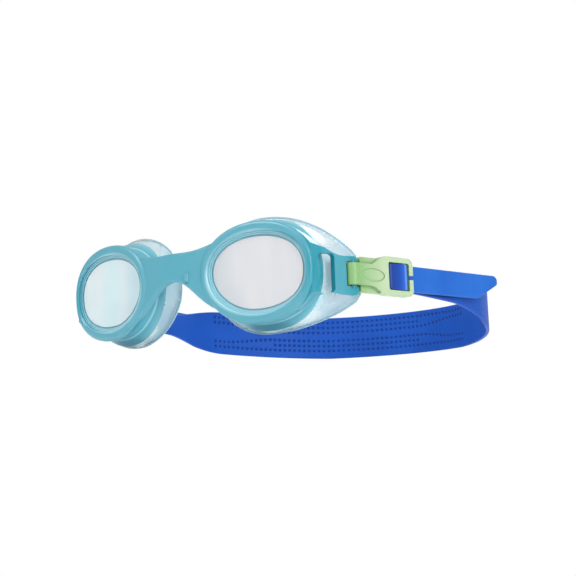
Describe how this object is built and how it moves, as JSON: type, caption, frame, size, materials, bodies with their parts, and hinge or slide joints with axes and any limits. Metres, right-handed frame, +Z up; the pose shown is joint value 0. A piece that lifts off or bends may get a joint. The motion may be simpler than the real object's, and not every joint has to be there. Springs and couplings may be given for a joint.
{
  "type": "swim goggles",
  "caption": "Swim goggles with soft face gaskets, clear lenses in a moulded frame, and a strap that threads through side clips hooked on the frame.",
  "frame": {"origin": "middle of the bounding box in X and Y, at its lowest point in Z", "axes": "+X to the wearer's left, +Y from the lenses back to the strap behind the head, +Z up"},
  "size_m": [0.1516, 0.163, 0.0394],
  "materials": {
    "frame": "translucent aqua moulding, smooth",
    "lens": "clear, polished",
    "gasket": "clear soft silicone, lightly frosted",
    "clip": "light green moulding, satin",
    "strap": "matte blue silicone"
  },
  "bodies": {
    "frame": {"frame": "frame", "left_lens": "lens", "right_lens": "lens", "left_gasket": "gasket", "right_gasket": "gasket"},
    "left_clip": {"left_clip": "clip", "left_strap_wrap": "strap"},
    "right_clip": {"right_clip": "clip", "right_strap_wrap": "strap"},
    "left_tail": {"left_strap_tail": "strap", "left_strap_tip": "strap"},
    "right_tail": {"right_strap_tail": "strap", "right_strap_tip": "strap"},
    "rear_band": {"strap_rear_band": "strap", "left_strap_arm": "strap", "right_strap_arm": "strap"}
  },
  "joints": [
    {"name": "left_clip_hinge", "type": "hinge", "parent": "frame", "child": "left_clip", "pos_m": [0.0595, -0.05822, 0.01739], "axis": [0, 0, -1], "range_deg": [-1, 45]},
    {"name": "right_clip_hinge", "type": "hinge", "parent": "frame", "child": "right_clip", "pos_m": [-0.0595, -0.05822, 0.01739], "axis": [0, 0, 1], "range_deg": [-1, 45]},
    {"name": "rear_band_slide", "type": "slide", "parent": "frame", "child": "rear_band", "axis": [0, 1, 0], "range_m": [-0.015, 0.033], "deforming": ["left_strap_arm", "right_strap_arm"]},
    {"name": "left_tail_slide", "type": "slide", "parent": "left_clip", "child": "left_tail", "axis": [0.1994, 0.9799, 0], "range_m": [-0.033, 0.015], "deforming": ["left_strap_tail"]},
    {"name": "right_tail_slide", "type": "slide", "parent": "right_clip", "child": "right_tail", "axis": [-0.1994, 0.9799, 0], "range_m": [-0.033, 0.015], "deforming": ["right_strap_tail"]}
  ],
  "couplings": [
    {"joint": "left_tail_slide", "follows": "rear_band_slide", "ratio": -1},
    {"joint": "right_tail_slide", "follows": "rear_band_slide", "ratio": -1}
  ]
}
